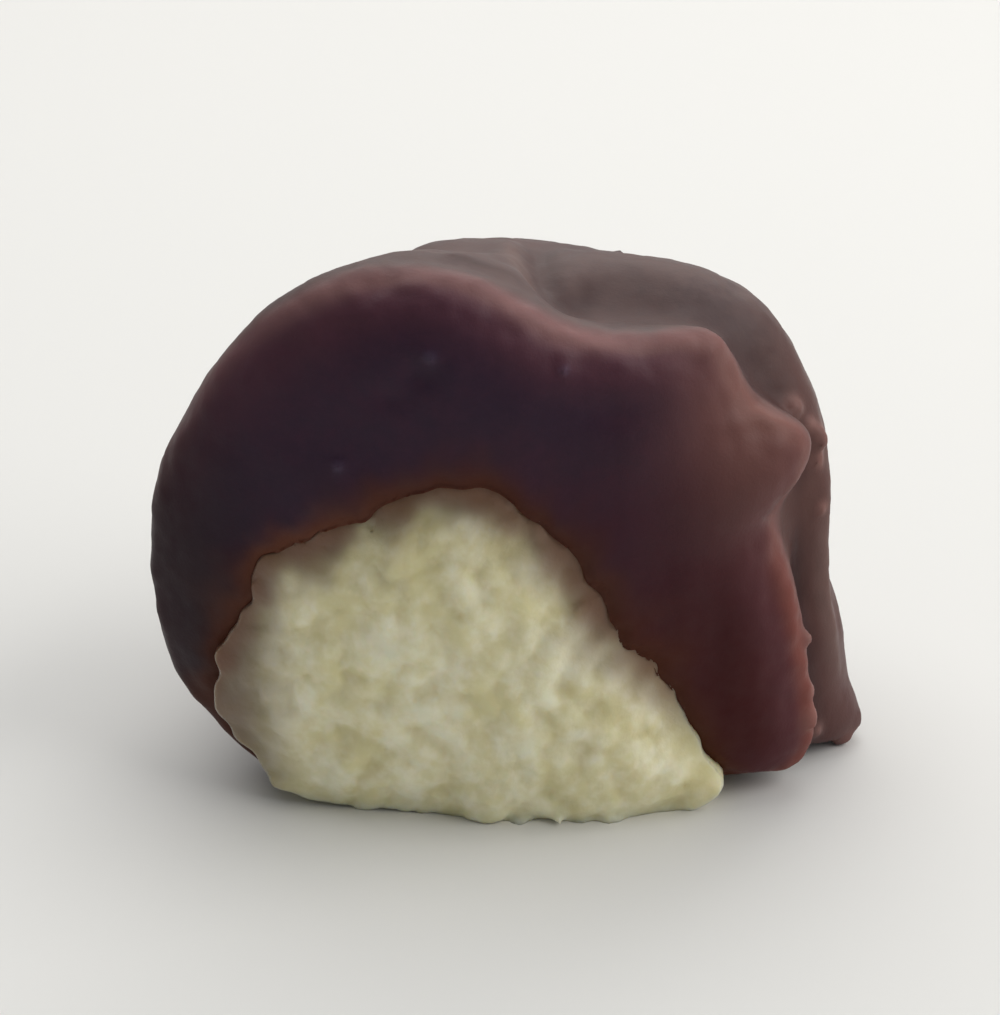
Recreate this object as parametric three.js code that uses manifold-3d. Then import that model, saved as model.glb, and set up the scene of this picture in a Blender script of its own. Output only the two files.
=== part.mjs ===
// Half of a red bean paste ohagi: a ball of half-pounded sticky rice, wrapped in smooth bean paste
// and cut across its middle. The cut face looks along -Y, +X is to its right and +Z is up.
// All sizes are in millimetres, and all angles are in degrees: 0 is to the right, 90 is up.
import * as THREE from "three";
import { mergeVertices } from "three/addons/utils/BufferGeometryUtils.js";
import Module from "manifold-3d";

// The driving sizes of the half sweet, as it rests on its flat underside.
const WIDTH = 55.2;
const DEPTH = 38;
const HEIGHT = 44;

// The bean paste, drawn round a depth axis: how it runs from the cut face back to the round end.
const PASTE = {
  axisHeight: 18,
  widestAt: 8, // how far behind the cut face the front form gives way to the back form
  frontSquareness: 3.7,
  backSquareness: 2.3,
  length: 34.7,
  settle: 2.4, // the height over which the underside rounds into its flat
  bodyFrom: 4, // the lip's outline turns into the body's between these two depths
  bodyBy: 14,
};

// The outline of the lip round the cut face, and that of the body behind it: an oval, with places
// where it is fuller or leaner.
const LIP = { axisX: -1.4, halfWidth: 24.0, halfHeight: 23.2 };
const LIP_SWELLS = [
  { name: "corner", at: 23.5, over: 8, rise: 4.4 },
  { name: "shoulder", at: 45, over: 11, rise: 3.1 },
  { name: "saddle", at: 74, over: 14, rise: -2.0 },
  { name: "crown", at: 102, over: 37, rise: 3.4 },
  { name: "foot on the right", at: -32, over: 11, rise: 6.0 },
  { name: "right flank", at: -17, over: 15, rise: 2.8 },
  { name: "left cheek", at: 181, over: 23, rise: 0.6 },
  { name: "left foot", at: 202, over: 11, rise: 0.7 },
];
const BODY = { axisX: 0.8, halfWidth: 25.3, halfHeight: 22.3 };
const BODY_SWELLS = [
  { name: "shoulder", at: 42, over: 22, rise: 3.2 },
  { name: "right flank", at: 6, over: 22, rise: 0.9 },
  { name: "above the hip", at: -23, over: 11, rise: 4.0 },
  { name: "corner of the hip", at: -33, over: 7, rise: 6.7 },
  { name: "crown", at: 104, over: 16, rise: 1.0 },
  { name: "left shoulder", at: 125, over: 21, rise: -1.5 },
];

// Folds, dents and lumps of the skin: where they lie, how far they spread, and how much they stand out.
const PASTE_FOLDS = [
  { name: "groove on the right", at: -4, over: 20, behind: 7.4, reach: 2.3, rise: -1.5 },
  { name: "crease behind the corner", at: 24, over: 12, behind: 9.0, reach: 1.5, rise: -1.3 },
  { name: "hollow under the corner", at: 16, over: 9, behind: 2.0, reach: 3.2, rise: -1.4 },
  { name: "groove at the hip", at: -32, over: 20, behind: 7.8, reach: 2.1, rise: -1.5 },
  { name: "hollow behind the saddle", at: 66, over: 17, behind: 9.0, reach: 3.6, rise: -2.4 },
  { name: "hollow behind the shoulder", at: 44, over: 14, behind: 8.4, reach: 3.0, rise: -1.5 },
  { name: "crease over the top", at: 84, over: 5, behind: 12.0, reach: 7.0, rise: -0.6 },
  { name: "thumb dent", at: 134, over: 11, behind: 18.0, reach: 4.0, rise: -1.4 },
  { name: "dimple on the top", at: 98, over: 7, behind: 21.0, reach: 2.4, rise: -1.2 },
  { name: "dent on the back", at: 58, over: 11, behind: 24.0, reach: 3.2, rise: -1.3 },
  { name: "dent on the far left", at: 160, over: 12, behind: 26.0, reach: 3.0, rise: -1.1 },
  { name: "fold low on the left", at: 205, over: 9, behind: 14.0, reach: 8.0, rise: -0.9 },
  { name: "lump on the left", at: 172, over: 10, behind: 20.0, reach: 5.0, rise: 0.7 },
  { name: "knob under the corner", at: 10, over: 5, behind: 9.8, reach: 1.6, rise: 0.7 },
  { name: "knob in the groove", at: -13, over: 4, behind: 7.2, reach: 1.6, rise: 0.9 },
  { name: "tip of the hip", at: -30, over: 3, behind: 13.0, reach: 2.0, rise: 0.9 },
];
// Slow waves that keep the skin from being too even: turns round the section, waves along the depth.
const WAVES = [
  { turns: 5, along: 0.21, phase: 40, rise: 0.22 },
  { turns: 9, along: -0.34, phase: 200, rise: 0.13 },
];

// The paste's cut face: it bows out in the middle, turns and leans back, and has hollows where the
// knife dragged it.
const FACE = { bow: 2.6, bowHalfWidth: 26, turn: -0.02, lean: -0.07, fade: 6 };
const FACE_HOLLOWS = [
  { name: "bevel of the shoulder", x: 20, z: 38, overX: 8, overZ: 9, depth: 3.0 },
  { name: "below the shoulder", x: 8, z: 28, overX: 6, overZ: 7, depth: 0.8 },
  { name: "down the right", x: 15, z: 13, overX: 4, overZ: 12, depth: 0.7 },
  { name: "above the rice", x: -8, z: 31, overX: 9, overZ: 4, depth: 0.5 },
];

// The ball of rice: drawn round an axis of its own, left of the middle and low down.
const RICE = {
  axisX: -2.2,
  axisHeight: 8.5,
  halfWidth: 17.8,
  halfHeight: 17.0,
  widestAt: 3,
  frontSquareness: 7,
  backSquareness: 1.9,
  length: 28,
  bulge: 0.8, // how far the middle of its cut face stands out of the paste
  bulgeSquareness: 4, // the higher, the flatter the bulge is as far as its rim
  settle: 1.2,
};
const RICE_SWELLS = [
  { name: "crown", at: 88, over: 24, rise: 2.3 },
  { name: "slope on the right", at: 31, over: 29, rise: -3.3 },
  { name: "foot on the right", at: -19, over: 10, rise: 4.3 },
  { name: "left shoulder", at: 138, over: 7, rise: 1.5 },
  { name: "left flank", at: 181, over: 9, rise: 1.1 },
  { name: "underside", at: 253, over: 43, rise: -8.6 },
];

// The grains that show in the cut rice, half pounded and so short and stubby.
const GRAIN = {
  count: 100,
  seed: 12,
  length: 4.6,
  width: 2.9,
  thickness: 2.1,
  sizeSpread: 0.2,
  tiltSpread: 16,
  spread: 0.94, // the share of the cut face's radius that the grains' middles cover
  segments: 6,
  rings: 3,
};

const GAP = 0.3; // the clearance between the paste and the rice
const CLEAR = 12; // how far a cutting shape runs past what it cuts
const HAIR = 0.001; // how much larger than the rice ball the shape is that the grains are trimmed to
const SAME_POINT = 0.0001; // points closer together than this are one

// How finely each skin is drawn: points round it, rings along it, and the weight of the rings that lie
// well inside the cut face, nearer to its middle than the given share of the radius.
const PASTE_MESH = { around: 72, along: 42, inTheFace: 0.3 };
const RICE_MESH = { around: 40, along: 16, inTheFace: 1 };
const WELL_INSIDE = 0.5;
const PROFILE_SAMPLES = 600;

const radians = THREE.MathUtils.degToRad;

// A bell curve: 1 at its middle, and close to 0 two spreads away.
function bell(distance) {
  return Math.exp(-distance * distance);
}

// The smaller angle from one direction to another, in degrees.
function turnBetween(a, b) {
  return ((((a - b) % 360) + 540) % 360) - 180;
}

// The distance from the axis to an oval section's outline, with its swells added.
function outline(angle, form, swells) {
  const a = radians(angle);
  const oval = 1 / Math.hypot(Math.cos(a) / form.halfWidth, Math.sin(a) / form.halfHeight);
  return swells.reduce((r, s) => r + s.rise * bell(turnBetween(angle, s.at) / s.over), oval);
}

// Where a step lies between the middle of the cut face (-1) and the far end (1): its share of the
// section's radius, and its distance behind the cut face.
function profile(step, form) {
  const turn = (step * Math.PI) / 2;
  const squareness = step < 0 ? form.frontSquareness : form.backSquareness;
  const reach = step < 0 ? -form.widestAt : form.length - form.widestAt;
  return {
    share: Math.cos(turn) ** (2 / squareness),
    behind: form.widestAt + reach * Math.abs(Math.sin(turn)) ** (2 / squareness),
  };
}

// Lays what would sink below the surface flat on it, with a round edge of the given height.
function settled(z, height) {
  if (z >= height) return z;
  return z <= -height ? 0 : (z + height) ** 2 / (4 * height);
}

// The height of the skin's waves and folds at one place.
function foldHeight(angle, behind) {
  const waves = WAVES.reduce(
    (h, w) => h + w.rise * Math.sin(radians(w.turns * angle + w.phase) + w.along * behind),
    0,
  );
  return PASTE_FOLDS.reduce(
    (h, f) => h + f.rise * bell(turnBetween(angle, f.at) / f.over) * bell((behind - f.behind) / f.reach),
    waves,
  );
}

// How far a point of the cut face lies behind the plane of the cut.
function faceDepth(x, z) {
  const bowed = FACE.bow * (x / FACE.bowHalfWidth) ** 2 + FACE.turn * x + FACE.lean * z;
  return FACE_HOLLOWS.reduce(
    (d, h) => d + h.depth * bell((x - h.x) / h.overX) * bell((z - h.z) / h.overZ),
    bowed,
  );
}

// A point of the paste's outside: its cut face, its lip and its skin.
function pastePoint(angle, step) {
  const { share, behind } = profile(step, PASTE);
  const body = THREE.MathUtils.smoothstep(behind, PASTE.bodyFrom, PASTE.bodyBy);
  const edge = THREE.MathUtils.lerp(outline(angle, LIP, LIP_SWELLS), outline(angle, BODY, BODY_SWELLS), body);
  const radius = share * (edge + share * foldHeight(angle, behind));
  const x = THREE.MathUtils.lerp(LIP.axisX, BODY.axisX, body) + radius * Math.cos(radians(angle));
  const z = PASTE.axisHeight + radius * Math.sin(radians(angle));
  const fade = bell(behind / FACE.fade);
  return new THREE.Vector3(x, behind + fade * faceDepth(x, z), settled(z, PASTE.settle));
}

// A point of the rice ball. A grown ball, made to cut the paste, is larger all round, runs out
// past the cut face and doesn't lie flat.
function ricePoint(angle, step, grown = 0) {
  const { share, behind } = profile(step, RICE);
  const radius = share * (outline(angle, RICE, RICE_SWELLS) + grown);
  const x = RICE.axisX + radius * Math.cos(radians(angle));
  const z = RICE.axisHeight + radius * Math.sin(radians(angle));
  const inFront = THREE.MathUtils.clamp(1 - behind / RICE.widestAt, 0, 1);
  const bulge = RICE.bulge * (1 - share ** RICE.bulgeSquareness);
  const y = behind + inFront * (faceDepth(x, z) - bulge);
  if (grown) return new THREE.Vector3(x, step < 0 ? y - inFront * CLEAR : y + grown * (1 - share), z);
  return new THREE.Vector3(x, y, settled(z, RICE.settle));
}

// Steps along a profile that lie evenly far apart, apart from those well inside the cut face, where
// the given weight makes them rarer.
function evenSteps(form, along, inTheFace) {
  const samples = Array.from({ length: PROFILE_SAMPLES + 1 }, (_, n) => (2 * n) / PROFILE_SAMPLES - 1);
  const reach = [0];
  samples.slice(1).forEach((step, n) => {
    const [a, b] = [profile(samples[n], form), profile(step, form)];
    const length = Math.hypot(form.halfWidth * (b.share - a.share), b.behind - a.behind);
    reach.push(reach[n] + length * (step < 0 && b.share < WELL_INSIDE ? inTheFace : 1));
  });
  const whole = reach[PROFILE_SAMPLES];
  return Array.from({ length: along - 1 }, (_, j) => {
    const n = reach.findIndex((r) => r >= (whole * (j + 1)) / along);
    return samples[n];
  });
}

// A closed skin from the middle of the cut face, ring by ring, to the far end.
function closedSkin(pointAt, form, { around, along, inTheFace }) {
  const points = [pointAt(0, -1)];
  for (const step of evenSteps(form, along, inTheFace))
    for (let i = 0; i < around; i++) points.push(pointAt((360 * i) / around, step));
  points.push(pointAt(0, 1));
  const last = points.length - 1;
  const at = (i, j) => 1 + (j - 1) * around + (i % around);
  const index = [];
  for (let i = 0; i < around; i++) {
    index.push(0, at(i, 1), at(i + 1, 1));
    for (let j = 1; j < along - 1; j++)
      index.push(at(i, j), at(i, j + 1), at(i + 1, j), at(i + 1, j), at(i, j + 1), at(i + 1, j + 1));
    index.push(last, at(i + 1, along - 1), at(i, along - 1));
  }
  return new THREE.BufferGeometry().setFromPoints(points).setIndex(index);
}

const wasm = await Module();
wasm.setup();

function solidOf(geometry) {
  const bare = geometry.clone();
  bare.deleteAttribute("normal");
  bare.deleteAttribute("uv");
  const merged = mergeVertices(bare, SAME_POINT);
  return new wasm.Manifold(
    new wasm.Mesh({
      numProp: 3,
      vertProperties: merged.attributes.position.array,
      triVerts: new Uint32Array(merged.index.array),
    }),
  );
}

function geometryOf(solid) {
  const { numProp, vertProperties, triVerts } = solid.getMesh();
  const points = [];
  for (let i = 0; i < vertProperties.length; i += numProp)
    points.push(new THREE.Vector3().fromArray(vertProperties, i));
  return new THREE.BufferGeometry().setFromPoints(points).setIndex([...triVerts]);
}

// A seeded row of numbers between 0 and 1, from a linear congruential generator.
function seededDraws(seed) {
  const [factor, addend] = [1664525, 1013904223];
  let state = seed;
  return () => {
    state = (Math.imul(state, factor) + addend) >>> 0;
    return state / 2 ** 32;
  };
}

// One grain, lying across the cut face at a share of the section's radius.
function grain(angle, share, draw) {
  const spread = () => 1 + GRAIN.sizeSpread * (2 * draw() - 1);
  const step = -1 + (2 / Math.PI) * Math.asin(share ** (RICE.frontSquareness / 2));
  const middle = ricePoint(angle, step);
  const shape = new THREE.SphereGeometry(0.5, GRAIN.segments, GRAIN.rings);
  shape.scale(GRAIN.length * spread(), GRAIN.thickness * spread(), GRAIN.width * spread());
  shape.rotateZ(radians(GRAIN.tiltSpread * (2 * draw() - 1)));
  shape.rotateY(Math.PI * draw());
  shape.translate(middle.x, middle.y, middle.z);
  return solidOf(shape);
}

// The grains lie in a sunflower's spiral, which spreads them evenly over the cut face.
function grains() {
  const draw = seededDraws(GRAIN.seed);
  const goldenAngle = 180 * (3 - Math.sqrt(5));
  return Array.from({ length: GRAIN.count }, (_, n) =>
    grain((n * goldenAngle) % 360, GRAIN.spread * Math.sqrt((n + 0.5) / GRAIN.count), draw),
  );
}

// What lies above the surface and inside the rice ball's own outline.
function trimmed(solid) {
  const own = solidOf(closedSkin((a, s) => ricePoint(a, s, HAIR), RICE, RICE_MESH));
  const size = 2 * (WIDTH + CLEAR);
  const above = new THREE.BoxGeometry(size, size, size).translate(0, 0, size / 2);
  return solid.intersect(own).intersect(solidOf(above));
}

function makeRice() {
  const core = solidOf(closedSkin((a, s) => ricePoint(a, s), RICE, RICE_MESH));
  const joined = grains().reduce((whole, g) => whole.add(g), core);
  return trimmed(joined);
}

function makePaste() {
  const whole = solidOf(closedSkin(pastePoint, { ...PASTE, halfWidth: BODY.halfWidth }, PASTE_MESH));
  return whole.subtract(solidOf(closedSkin((a, s) => ricePoint(a, s, GAP), RICE, RICE_MESH)));
}

function part(name, geometry, color, roughness) {
  const made = new THREE.Mesh(geometry, new THREE.MeshStandardMaterial({ color, roughness, metalness: 0 }));
  made.name = name;
  return made;
}

// Scales what was drawn to the driving sizes, and stands its middle over the origin.
function fitted(meshes) {
  const group = new THREE.Group();
  group.add(...meshes);
  const box = new THREE.Box3().setFromObject(group);
  const size = box.getSize(new THREE.Vector3());
  const middle = box.getCenter(new THREE.Vector3());
  group.scale.set(WIDTH / size.x, DEPTH / size.y, HEIGHT / size.z);
  group.position.set(-middle.x, -middle.y, -box.min.z).multiply(group.scale);
  return group;
}

export default fitted([
  part("bean_paste", geometryOf(makePaste()), 0x4a3036, 0.55),
  part("rice", geometryOf(makeRice()), 0xcfc8ae, 0.5),
]);
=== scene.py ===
# Half of a red bean paste ohagi: smooth, moist bean paste round a ball of half-pounded sticky rice,
# cut across its middle, as it stands on a pale table under soft light.
# Forms are worked out in millimetres and degrees (0 is to the right, 90 is up), and turned into
# metres where they become meshes.
import math
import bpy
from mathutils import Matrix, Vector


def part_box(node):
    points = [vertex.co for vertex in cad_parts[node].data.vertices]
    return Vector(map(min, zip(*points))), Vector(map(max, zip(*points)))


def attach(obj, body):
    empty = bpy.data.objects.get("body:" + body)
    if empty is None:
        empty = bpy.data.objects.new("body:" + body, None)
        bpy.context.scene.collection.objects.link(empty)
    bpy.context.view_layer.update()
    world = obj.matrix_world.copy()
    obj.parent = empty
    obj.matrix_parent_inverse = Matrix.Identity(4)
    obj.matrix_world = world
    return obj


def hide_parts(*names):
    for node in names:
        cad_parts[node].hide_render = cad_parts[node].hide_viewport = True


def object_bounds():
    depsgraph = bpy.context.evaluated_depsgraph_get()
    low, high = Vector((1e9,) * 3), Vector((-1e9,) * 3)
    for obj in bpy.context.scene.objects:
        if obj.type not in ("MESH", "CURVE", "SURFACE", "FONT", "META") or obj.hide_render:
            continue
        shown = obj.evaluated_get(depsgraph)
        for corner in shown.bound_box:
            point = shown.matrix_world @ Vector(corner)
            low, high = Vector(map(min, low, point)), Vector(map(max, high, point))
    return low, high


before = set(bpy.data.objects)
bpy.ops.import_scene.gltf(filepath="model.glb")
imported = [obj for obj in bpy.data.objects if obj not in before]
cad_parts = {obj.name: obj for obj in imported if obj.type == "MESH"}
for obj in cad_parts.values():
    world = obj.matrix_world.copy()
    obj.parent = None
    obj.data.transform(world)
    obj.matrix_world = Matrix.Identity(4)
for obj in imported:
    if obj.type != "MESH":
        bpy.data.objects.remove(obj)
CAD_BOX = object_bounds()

from types import SimpleNamespace

import bmesh
import bpy
import numpy as np
from mathutils import Vector, noise

MM = 0.001

# The bean paste, drawn round a depth axis from its cut face back to its round end.
PASTE = {
    "axis_height": 18,
    "widest_at": 8,
    "front_squareness": 3.7,
    "back_squareness": 2.3,
    "length": 34.7,
    "settle": 2.4,
    "body_from": 4,
    "body_by": 14,
    "half_width": 25.3,
}
# The outlines of the lip round the cut face and of the body behind it, each an oval with swells:
# where they lie, how far they spread and how much they stand out.
LIP = {"axis_x": -1.4, "half_width": 24.0, "half_height": 23.2}
LIP_SWELLS = [
    (23.5, 8, 4.4),  # corner
    (45, 11, 3.1),  # shoulder
    (74, 14, -2.0),  # saddle
    (102, 37, 3.4),  # crown
    (-32, 11, 6.0),  # foot on the right
    (-17, 15, 2.8),  # right flank
    (181, 23, 0.6),  # left cheek
    (202, 11, 0.7),  # left foot
]
BODY = {"axis_x": 0.8, "half_width": 25.3, "half_height": 22.3}
BODY_SWELLS = [
    (42, 22, 3.2),  # shoulder
    (6, 22, 0.9),  # right flank
    (-23, 11, 4.0),  # above the hip
    (-33, 7, 6.7),  # corner of the hip
    (104, 16, 1.0),  # crown
    (125, 21, -1.5),  # left shoulder
]
# Folds, dents and lumps of the skin: angle, its spread, depth behind the cut, its spread, rise.
PASTE_FOLDS = [
    (-4, 20, 7.4, 2.3, -1.5),  # groove on the right
    (24, 12, 9.0, 1.5, -1.3),  # crease behind the corner
    (16, 9, 2.0, 3.2, -1.4),  # hollow under the corner
    (-32, 20, 7.8, 2.1, -1.5),  # groove at the hip
    (66, 17, 9.0, 3.6, -2.4),  # hollow behind the saddle
    (44, 14, 8.4, 3.0, -1.5),  # hollow behind the shoulder
    (84, 5, 12.0, 7.0, -0.6),  # crease over the top
    (134, 11, 18.0, 4.0, -1.4),  # thumb dent
    (98, 7, 21.0, 2.4, -1.2),  # dimple on the top
    (58, 11, 24.0, 3.2, -1.3),  # dent on the back
    (160, 12, 26.0, 3.0, -1.1),  # dent on the far left
    (205, 9, 14.0, 8.0, -0.9),  # fold low on the left
    (172, 10, 20.0, 5.0, 0.7),  # lump on the left
    (10, 5, 9.8, 1.6, 0.7),  # knob under the corner
    (-13, 4, 7.2, 1.6, 0.9),  # knob in the groove
    (-30, 3, 13.0, 2.0, 0.9),  # tip of the hip
]
# Slow waves of the skin: turns round the section, waves along the depth, phase, rise.
WAVES = [(5, 0.21, 40, 0.22), (9, -0.34, 200, 0.13)]

# The paste's cut face, and its hollows: x, z, their spreads and depth.
FACE = {"bow": 2.6, "bow_half_width": 26, "turn": -0.02, "lean": -0.07, "fade": 6}
FACE_HOLLOWS = [
    (20, 38, 8, 9, 3.0),  # bevel of the shoulder
    (8, 28, 6, 7, 0.8),  # below the shoulder
    (15, 13, 4, 12, 0.7),  # down the right
    (-8, 31, 9, 4, 0.5),  # above the rice
]

# The ball of rice, drawn round an axis of its own, left of the middle and low down.
RICE = {
    "axis_x": -2.2,
    "axis_height": 8.5,
    "half_width": 17.8,
    "half_height": 17.0,
    "widest_at": 3,
    "front_squareness": 7,
    "back_squareness": 1.9,
    "length": 28,
    "bulge": 0.8,
    "bulge_squareness": 4,
    "settle": 1.2,
}
RICE_SWELLS = [
    (88, 24, 2.3),  # crown
    (31, 29, -3.3),  # slope on the right
    (-19, 10, 4.3),  # foot on the right
    (138, 7, 1.5),  # left shoulder
    (181, 9, 1.1),  # left flank
    (253, 43, -8.6),  # underside
]

# What only the fine surface shows: creases of the skin, in the same terms as the folds.
FINE_FOLDS = [
    (72, 3.0, 8.5, 3.0, -0.35),  # behind the saddle
    (95, 2.2, 9.0, 5.0, -0.30),
    (118, 2.6, 12.0, 4.0, -0.30),
    (48, 2.4, 14.0, 4.5, -0.35),
    (150, 3.0, 18.0, 3.0, -0.30),
    (30, 2.2, 19.0, 4.0, -0.30),
    (78, 2.6, 27.0, 2.0, -0.35),
    (-8, 3.0, 20.0, 4.0, -0.35),
    (186, 3.0, 9.0, 4.0, -0.30),
    (-9, 16, 10.0, 0.9, 0.85),  # second ridge down the right flank
    (-8, 17, 8.5, 0.8, -0.60),  # crease in front of it
    (2, 14, 13.8, 1.6, -0.45),  # and the one behind it
    (33, 6, 5.6, 1.0, 0.30),  # lumps along the shoulder's lip
    (50, 5, 5.2, 1.2, 0.30),
    (41, 3, 3.4, 1.0, -0.30),
    (57, 3, 3.2, 1.2, -0.25),
    (88, 3.2, 15.0, 3.4, 0.55),  # ridge over the top, down to the saddle
    (86, 3.2, 10.0, 2.8, 0.70),
    (82.5, 3.2, 7.0, 2.0, 0.55),
    (82.5, 3.0, 14.5, 3.4, -0.45),  # crease beside it
    (79.5, 3.0, 10.5, 2.6, -0.55),
    (75.5, 3.4, 8.0, 1.8, -0.45),
    (92, 9, 5.0, 0.7, -0.50),  # crease above the crest
    (72, 1.6, 11.0, 2.0, -0.20),  # wrinkles in the hollow
    (69, 1.6, 12.5, 2.5, -0.20),
    (96, 9, 19.4, 0.9, 0.45),  # lips of the dimples on the top and the back
    (132, 12, 15.6, 1.2, 0.45),
    (57, 12, 27.0, 1.2, 0.40),
    (158, 13, 28.6, 1.1, 0.40),
    (110, 7, 27.5, 1.4, -0.60),
    (20, 6, 24.0, 1.8, -0.60),
    (-18, 8, 27.0, 2.0, -0.55),
    (182, 6, 15.0, 1.2, -0.50),
    (148, 5, 9.5, 1.6, -0.40),
    (200, 7, 22.0, 1.8, -0.50),
    (36, 9, 17.0, 0.9, -0.35),
    (125, 4, 22.0, 3.0, -0.40),
    (170, 9, 31.0, 1.2, -0.45),
]
# Small pits of the skin: angle and depth behind the cut.
PITS = [
    (150, 13.0),
    (142, 19.5),
    (165, 17.0),
    (128, 26.0),
    (112, 19.0),
    (176, 23.0),
    (64, 19.0),
    (47, 27.0),
    (12, 18.0),
    (-12, 24.0),
    (25, 29.0),
    (190, 27.0),
]
PIT = {"over": 1.7, "reach": 0.7, "rise": -0.5}
FINE_FOLDS += [(angle, PIT["over"], behind, PIT["reach"], PIT["rise"]) for angle, behind in PITS]
# Pits and drags of the cut face, in the same terms as its hollows.
FINE_HOLLOWS = [
    (-4.6, 36.4, 1.4, 1.1, 0.45),  # small pit high on the cut face
    (-6.4, 34.7, 1.8, 0.9, 0.35),
    (9.5, 33.5, 3.0, 1.4, 0.25),
    (-17.0, 27.0, 2.6, 4.0, 0.30),
    (13.0, 24.0, 2.0, 5.0, 0.25),
    (17.5, 16.0, 1.6, 6.0, 0.25),
]
# Pale scraps of rice pressed into the cut face: x, z, radius.
SCRAPS = [(-3.7, 38.0, 0.42), (5.8, 36.6, 0.35), (-10.5, 29.2, 0.38)]
# Crumbs of paste that cling to the flank: angle, depth behind the cut, radius.
CRUMBS = [
    (20, 10.6, 0.95),
    (27, 9.8, 0.8),
    (16.5, 10.2, 0.6),
    (23, 10.2, 0.5),
    (8, 9.6, 0.5),
    (-11.5, 4.8, 0.7),
    (-20, 4.4, 0.45),
    (-24, 3.8, 0.8),
    (-30, 8.6, 0.5),
    (-33, 12.0, 0.9),
    (140, 24.0, 0.5),
    (66, 20.0, 0.45),
]
# The unevenness of the rice's outline: turns round it, phase and rise.
RIPPLES = [(9, 30, 0.22), (17, 140, 0.20), (29, 260, 0.16), (47, 80, 0.10)]
# The grains: half their length, width and thickness, how close they lie, how far the core that
# carries them is sunk below the cut, and how far back from the cut and how high up they still lie.
GRAIN = {
    "half_size": (2.0, 1.2, 0.52),
    "spacing": 2.1,
    "sunk": 0.2,
    "up_to_behind": 5.5,
    "up_to_height": 0.6,
}
MOST_GRAINS = 4e6  # how many are strewn on a square metre, before their spacing thins them out
# The crumb of rice that sticks out at the foot of the cut: x, z, its length, its radius, how flat
# it is, and the number that its uneven shape goes by.
TAIL = {"x": 5.8, "z": 0.45, "length": 1.6, "radius": 0.5, "flatness": 0.8, "number": 5}
# How finely crumbs are drawn, how close their bumps lie and how uneven they are.
LUMP = {"subdivisions": 3, "bumps": 1.3, "unevenness": 0.35}
# The painted light on the lit bevel of the shoulder: where it lies and how far it spreads.
LIT_BEVEL = {"x": 20.0, "z": 32.0, "over_x": 6.0, "over_z": 8.5}
# The smear of paste over the rice's edge: where it lies and how far it spreads.
SMEAR = {"x": -13.0, "z": 21.5, "over": 6.5}

# Fractal noises: the size of their bumps, their octaves and an offset that sets each apart.
NOISES = {
    "slow": (7.0, 3, (0, 0, 0)),
    "fine": (1.5, 3, (7, 3, 1)),
    "drags": (1.4, 2, (3, 3, 3)),
    "knobs": (2.8, 2, (4, 4, 9)),
    "lumps": (3.6, 2, (5, 1, 8)),
    "mash": (0.9, 3, (2, 9, 4)),
    "strands": (1.7, 2, (1, 4, 2)),
}
FADING = 0.8  # how fast the octaves weaken
LACUNARITY = 2.1  # how much finer each octave is
UPRIGHT = np.array([1, 1, 0.15])  # draws the drags of the knife out upwards
# How far these lift the skin of the paste, and its cut face.
PASTE_RELIEF = {"slow": (0.18, 0.08), "fine": (0.045, 0.015), "drags": (0, 0.035)}
# Bands along the edge of the lip: how far in they lie, how far they spread, and on the left how
# much nearer to the edge they lie and how much they weaken.
LIP_BANDS = {
    "edge": (0.8, 0.5, 0, 0),
    "knobs": (1.6, 2.2, 0, 0.7),
    # painted highlight along the lip's lit edge
    "lit_crest": (0.9, 0.8, 0.6, 0.4),
    # painted reddish light on the face just under the lip's edge
    "lit_lip_band": (2.4, 2.3, 0.9, 0.3),
}
CREST_RISE = 0.16  # how far the edge of the lip stands up, as a thin ridge
CREST_KNOBS = 0.28  # and how uneven it is
# The paste's edge where it meets the rice: how far it dips back, and how far the dip spreads.
RIM_DIP = {"depth": 0.4, "over": 0.9}
# Colours on the paste round the rice: how far they spread, and how unevenly.
RIM_STAINS = {"rim": (2.3, 1.5), "smear": (1.5, 0.9)}
CRUMB_GLOW = 1.1  # how far the painted highlight on a crumb spreads, in its radii
CRUMBS_END = 13  # how far behind the cut crumbs still carry a painted highlight

# How far these lift the surface of the rice.
RICE_RELIEF = {"mash": 0.08, "lumps": 0.25, "strands": 0.05}
# The strands in the mash: how high they lie, and how far the lumps bend them.
STRANDS = {"level": 0.4, "warp": 1.5}
# The rice's edge: how far it is drawn out to the outline, falls back beside the paste, and comes
# level with the cut, each with its spread.
RICE_EDGE = {"drawn_over": 0.7, "setback": 0.7, "set_over": 2.0, "level": 0.8, "level_over": 2.2}
DOME = 0.6  # how much further its middle swells out
OVERLAP = 0.32  # how far the rice reaches in under the paste, so that no gap shows
NEAR_AXIS = 0.01  # the smallest share of the outline that the rice's points are scaled by
# The rice's foot on the right: how far it draws in at the table, and up to what height.
FOOT_ROUNDING = {"by": 1.5, "height": 1.6}
# Stain and painted shade on the rice beside the paste, rim and shade: how far in they reach, how
# much further where it is lumpy, and how much further where paste is smeared.
RICE_STAIN_AND_SHADE = {"rim": (1.5, 1.0, 0.4), "shade": (3.0, 1.3, -0.9)}

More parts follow.
